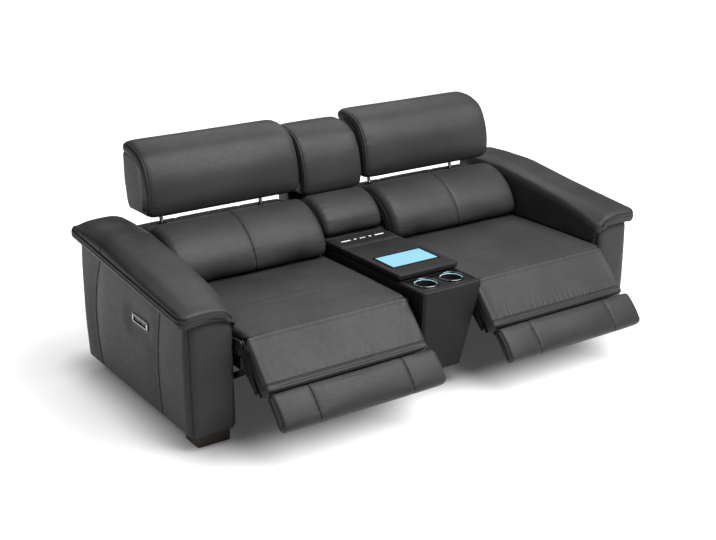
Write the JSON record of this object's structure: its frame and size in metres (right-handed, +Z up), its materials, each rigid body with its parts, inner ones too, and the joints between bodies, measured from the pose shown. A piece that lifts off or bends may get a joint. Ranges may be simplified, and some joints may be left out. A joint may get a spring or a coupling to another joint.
{
  "type": "home theater sofa",
  "caption": "Powered reclining home theater sofa in dark leather, with lifting legrests, sliding headrests and a middle console with a lidded bin, screen and cup holders.",
  "frame": {"origin": "centre of the sofa's plan box on the floor", "axes": "+X to the viewer's right along the row of seats, the sofa faces -Y, +Z up"},
  "size_m": [2.241, 1.2621, 0.944],
  "materials": {
    "leather": "semi-matt charcoal leather with a fine grain",
    "frame_wood": "raw plywood and timber",
    "foot_wood": "dark stained wood",
    "dark_steel": "black painted steel",
    "spring_steel": "bare drawn steel",
    "chrome": "bright chrome plate",
    "black_plastic": "black moulded plastic",
    "screen": "lit touch screen, plain pale blue"
  },
  "bodies": {
    "base": {"arm_frames": "frame_wood", "left_arm_cover": "leather", "right_arm_cover": "leather", "left_arm_pad": "leather", "right_arm_pad": "leather", "switch_plates": "chrome", "feet": "foot_wood", "mechanism_base": "dark_steel", "seat_frames": "frame_wood", "seat_springs": "spring_steel", "left_seat_cushion": "leather", "right_seat_cushion": "leather", "actuators": "black_plastic", "rear_beams": "frame_wood", "power_box": "black_plastic", "console_body": "leather", "console_bin": "black_plastic", "console_deck": "leather", "port_strip": "black_plastic", "cup_tray": "black_plastic", "cup_liners": "black_plastic", "cup_rings": "chrome", "middle_back_shell": "leather", "middle_back_cushion": "leather", "middle_headrest_pad": "leather"},
    "left_legrest": {"left_legrest_frame": "dark_steel", "left_legrest_pad": "leather"},
    "left_footrest": {"left_footrest_board": "frame_wood", "left_footrest_pad": "leather"},
    "left_tube": {"left_torque_tube": "dark_steel"},
    "left_links": {"left_push_links": "dark_steel"},
    "left_lift_drive": {"left_lift_rod": "spring_steel"},
    "left_back": {"left_back_frame": "dark_steel", "left_back_cover": "leather", "left_back_cushion": "leather"},
    "left_recline_drive": {"left_recline_rod": "spring_steel"},
    "left_headrest": {"left_headrest_rods": "chrome", "left_headrest_shell": "leather", "left_headrest_pad": "leather"},
    "left_legrest_switch": {"left_legrest_rocker": "black_plastic"},
    "left_recline_switch": {"left_recline_rocker": "black_plastic"},
    "right_legrest": {"right_legrest_frame": "dark_steel", "right_legrest_pad": "leather"},
    "right_footrest": {"right_footrest_board": "frame_wood", "right_footrest_pad": "leather"},
    "right_tube": {"right_torque_tube": "dark_steel"},
    "right_links": {"right_push_links": "dark_steel"},
    "right_lift_drive": {"right_lift_rod": "spring_steel"},
    "right_back": {"right_back_frame": "dark_steel", "right_back_cover": "leather", "right_back_cushion": "leather"},
    "right_recline_drive": {"right_recline_rod": "spring_steel"},
    "right_headrest": {"right_headrest_rods": "chrome", "right_headrest_shell": "leather", "right_headrest_pad": "leather"},
    "right_legrest_switch": {"right_legrest_rocker": "black_plastic"},
    "right_recline_switch": {"right_recline_rocker": "black_plastic"},
    "lid": {"console_lid": "leather", "lid_hinge": "spring_steel", "lid_screen": "screen"}
  },
  "joints": [
    {"name": "left_legrest_lift", "type": "hinge", "parent": "base", "child": "left_legrest", "pos_m": [-0.5215, -0.34682, 0.398], "axis": [-1, 0, 0], "range_deg": [-42, 43]},
    {"name": "left_footrest_fold", "type": "hinge", "parent": "left_legrest", "child": "left_footrest", "pos_m": [-0.5215, -0.48779, 0.22351], "axis": [-1, 0, 0], "range_deg": [-8.5, 8.7]},
    {"name": "left_tube_turn", "type": "hinge", "parent": "base", "child": "left_tube", "pos_m": [-0.5215, -0.07982, 0.244], "axis": [-1, 0, 0], "range_deg": [-42.5, 43.5]},
    {"name": "left_link_swing", "type": "hinge", "parent": "left_tube", "child": "left_links", "pos_m": [-0.5215, -0.1066, 0.14701], "axis": [-1, 0, 0], "range_deg": [-43.5, 42.5]},
    {"name": "left_lift_stroke", "type": "slide", "parent": "base", "child": "left_lift_drive", "axis": [0, -1, 0], "range_m": [-0.039, 0.0395]},
    {"name": "left_recline", "type": "hinge", "parent": "base", "child": "left_back", "pos_m": [-0.5215, 0.28718, 0.33], "axis": [-1, 0, 0], "range_deg": [0, 32]},
    {"name": "left_recline_stroke", "type": "slide", "parent": "base", "child": "left_recline_drive", "axis": [0, -1, 0], "range_m": [-0.001, 0.0615]},
    {"name": "left_headrest_slide", "type": "slide", "parent": "left_back", "child": "left_headrest", "axis": [0, 0.2588, 0.9659], "range_m": [-0.02, 0.05]},
    {"name": "left_legrest_rocker_tilt", "type": "hinge", "parent": "base", "child": "left_legrest_switch", "pos_m": [-1.077, 0.03718, 0.39], "axis": [0, 0, 1], "range_deg": [-7, 7], "stiffness_Nm_per_rad": 0.3},
    {"name": "left_recline_rocker_tilt", "type": "hinge", "parent": "base", "child": "left_recline_switch", "pos_m": [-1.077, 0.09318, 0.39], "axis": [0, 0, 1], "range_deg": [-7, 7], "stiffness_Nm_per_rad": 0.3},
    {"name": "right_legrest_lift", "type": "hinge", "parent": "base", "child": "right_legrest", "pos_m": [0.5215, -0.34682, 0.398], "axis": [-1, 0, 0], "range_deg": [-42, 43]},
    {"name": "right_footrest_fold", "type": "hinge", "parent": "right_legrest", "child": "right_footrest", "pos_m": [0.5215, -0.48779, 0.22351], "axis": [-1, 0, 0], "range_deg": [-8.5, 8.7]},
    {"name": "right_tube_turn", "type": "hinge", "parent": "base", "child": "right_tube", "pos_m": [0.5215, -0.07982, 0.244], "axis": [-1, 0, 0], "range_deg": [-42.5, 43.5]},
    {"name": "right_link_swing", "type": "hinge", "parent": "right_tube", "child": "right_links", "pos_m": [0.5215, -0.1066, 0.14701], "axis": [-1, 0, 0], "range_deg": [-43.5, 42.5]},
    {"name": "right_lift_stroke", "type": "slide", "parent": "base", "child": "right_lift_drive", "axis": [0, -1, 0], "range_m": [-0.039, 0.0395]},
    {"name": "right_recline", "type": "hinge", "parent": "base", "child": "right_back", "pos_m": [0.5215, 0.28718, 0.33], "axis": [-1, 0, 0], "range_deg": [0, 32]},
    {"name": "right_recline_stroke", "type": "slide", "parent": "base", "child": "right_recline_drive", "axis": [0, -1, 0], "range_m": [-0.001, 0.0615]},
    {"name": "right_headrest_slide", "type": "slide", "parent": "right_back", "child": "right_headrest", "axis": [0, 0.2588, 0.9659], "range_m": [-0.02, 0.05]},
    {"name": "right_legrest_rocker_tilt", "type": "hinge", "parent": "base", "child": "right_legrest_switch", "pos_m": [1.077, 0.03718, 0.39], "axis": [0, 0, 1], "range_deg": [-7, 7], "stiffness_Nm_per_rad": 0.3},
    {"name": "right_recline_rocker_tilt", "type": "hinge", "parent": "base", "child": "right_recline_switch", "pos_m": [1.077, 0.09318, 0.39], "axis": [0, 0, 1], "range_deg": [-7, 7], "stiffness_Nm_per_rad": 0.3},
    {"name": "lid_hinge_turn", "type": "hinge", "parent": "base", "child": "lid", "pos_m": [0, 0.10818, 0.481], "axis": [-1, 0, 0], "range_deg": [0, 80]}
  ],
  "couplings": [
    {"joint": "left_footrest_fold", "follows": "left_legrest_lift", "ratio": 0.2},
    {"joint": "left_tube_turn", "follows": "left_legrest_lift", "ratio": 1},
    {"joint": "left_link_swing", "follows": "left_legrest_lift", "ratio": -1},
    {"joint": "left_lift_stroke", "follows": "left_legrest_lift", "m_per_rad": 0.05115},
    {"joint": "left_recline_stroke", "follows": "left_recline", "m_per_rad": 0.1086},
    {"joint": "right_footrest_fold", "follows": "right_legrest_lift", "ratio": 0.2},
    {"joint": "right_tube_turn", "follows": "right_legrest_lift", "ratio": 1},
    {"joint": "right_link_swing", "follows": "right_legrest_lift", "ratio": -1},
    {"joint": "right_lift_stroke", "follows": "right_legrest_lift", "m_per_rad": 0.05115},
    {"joint": "right_recline_stroke", "follows": "right_recline", "m_per_rad": 0.1086}
  ]
}
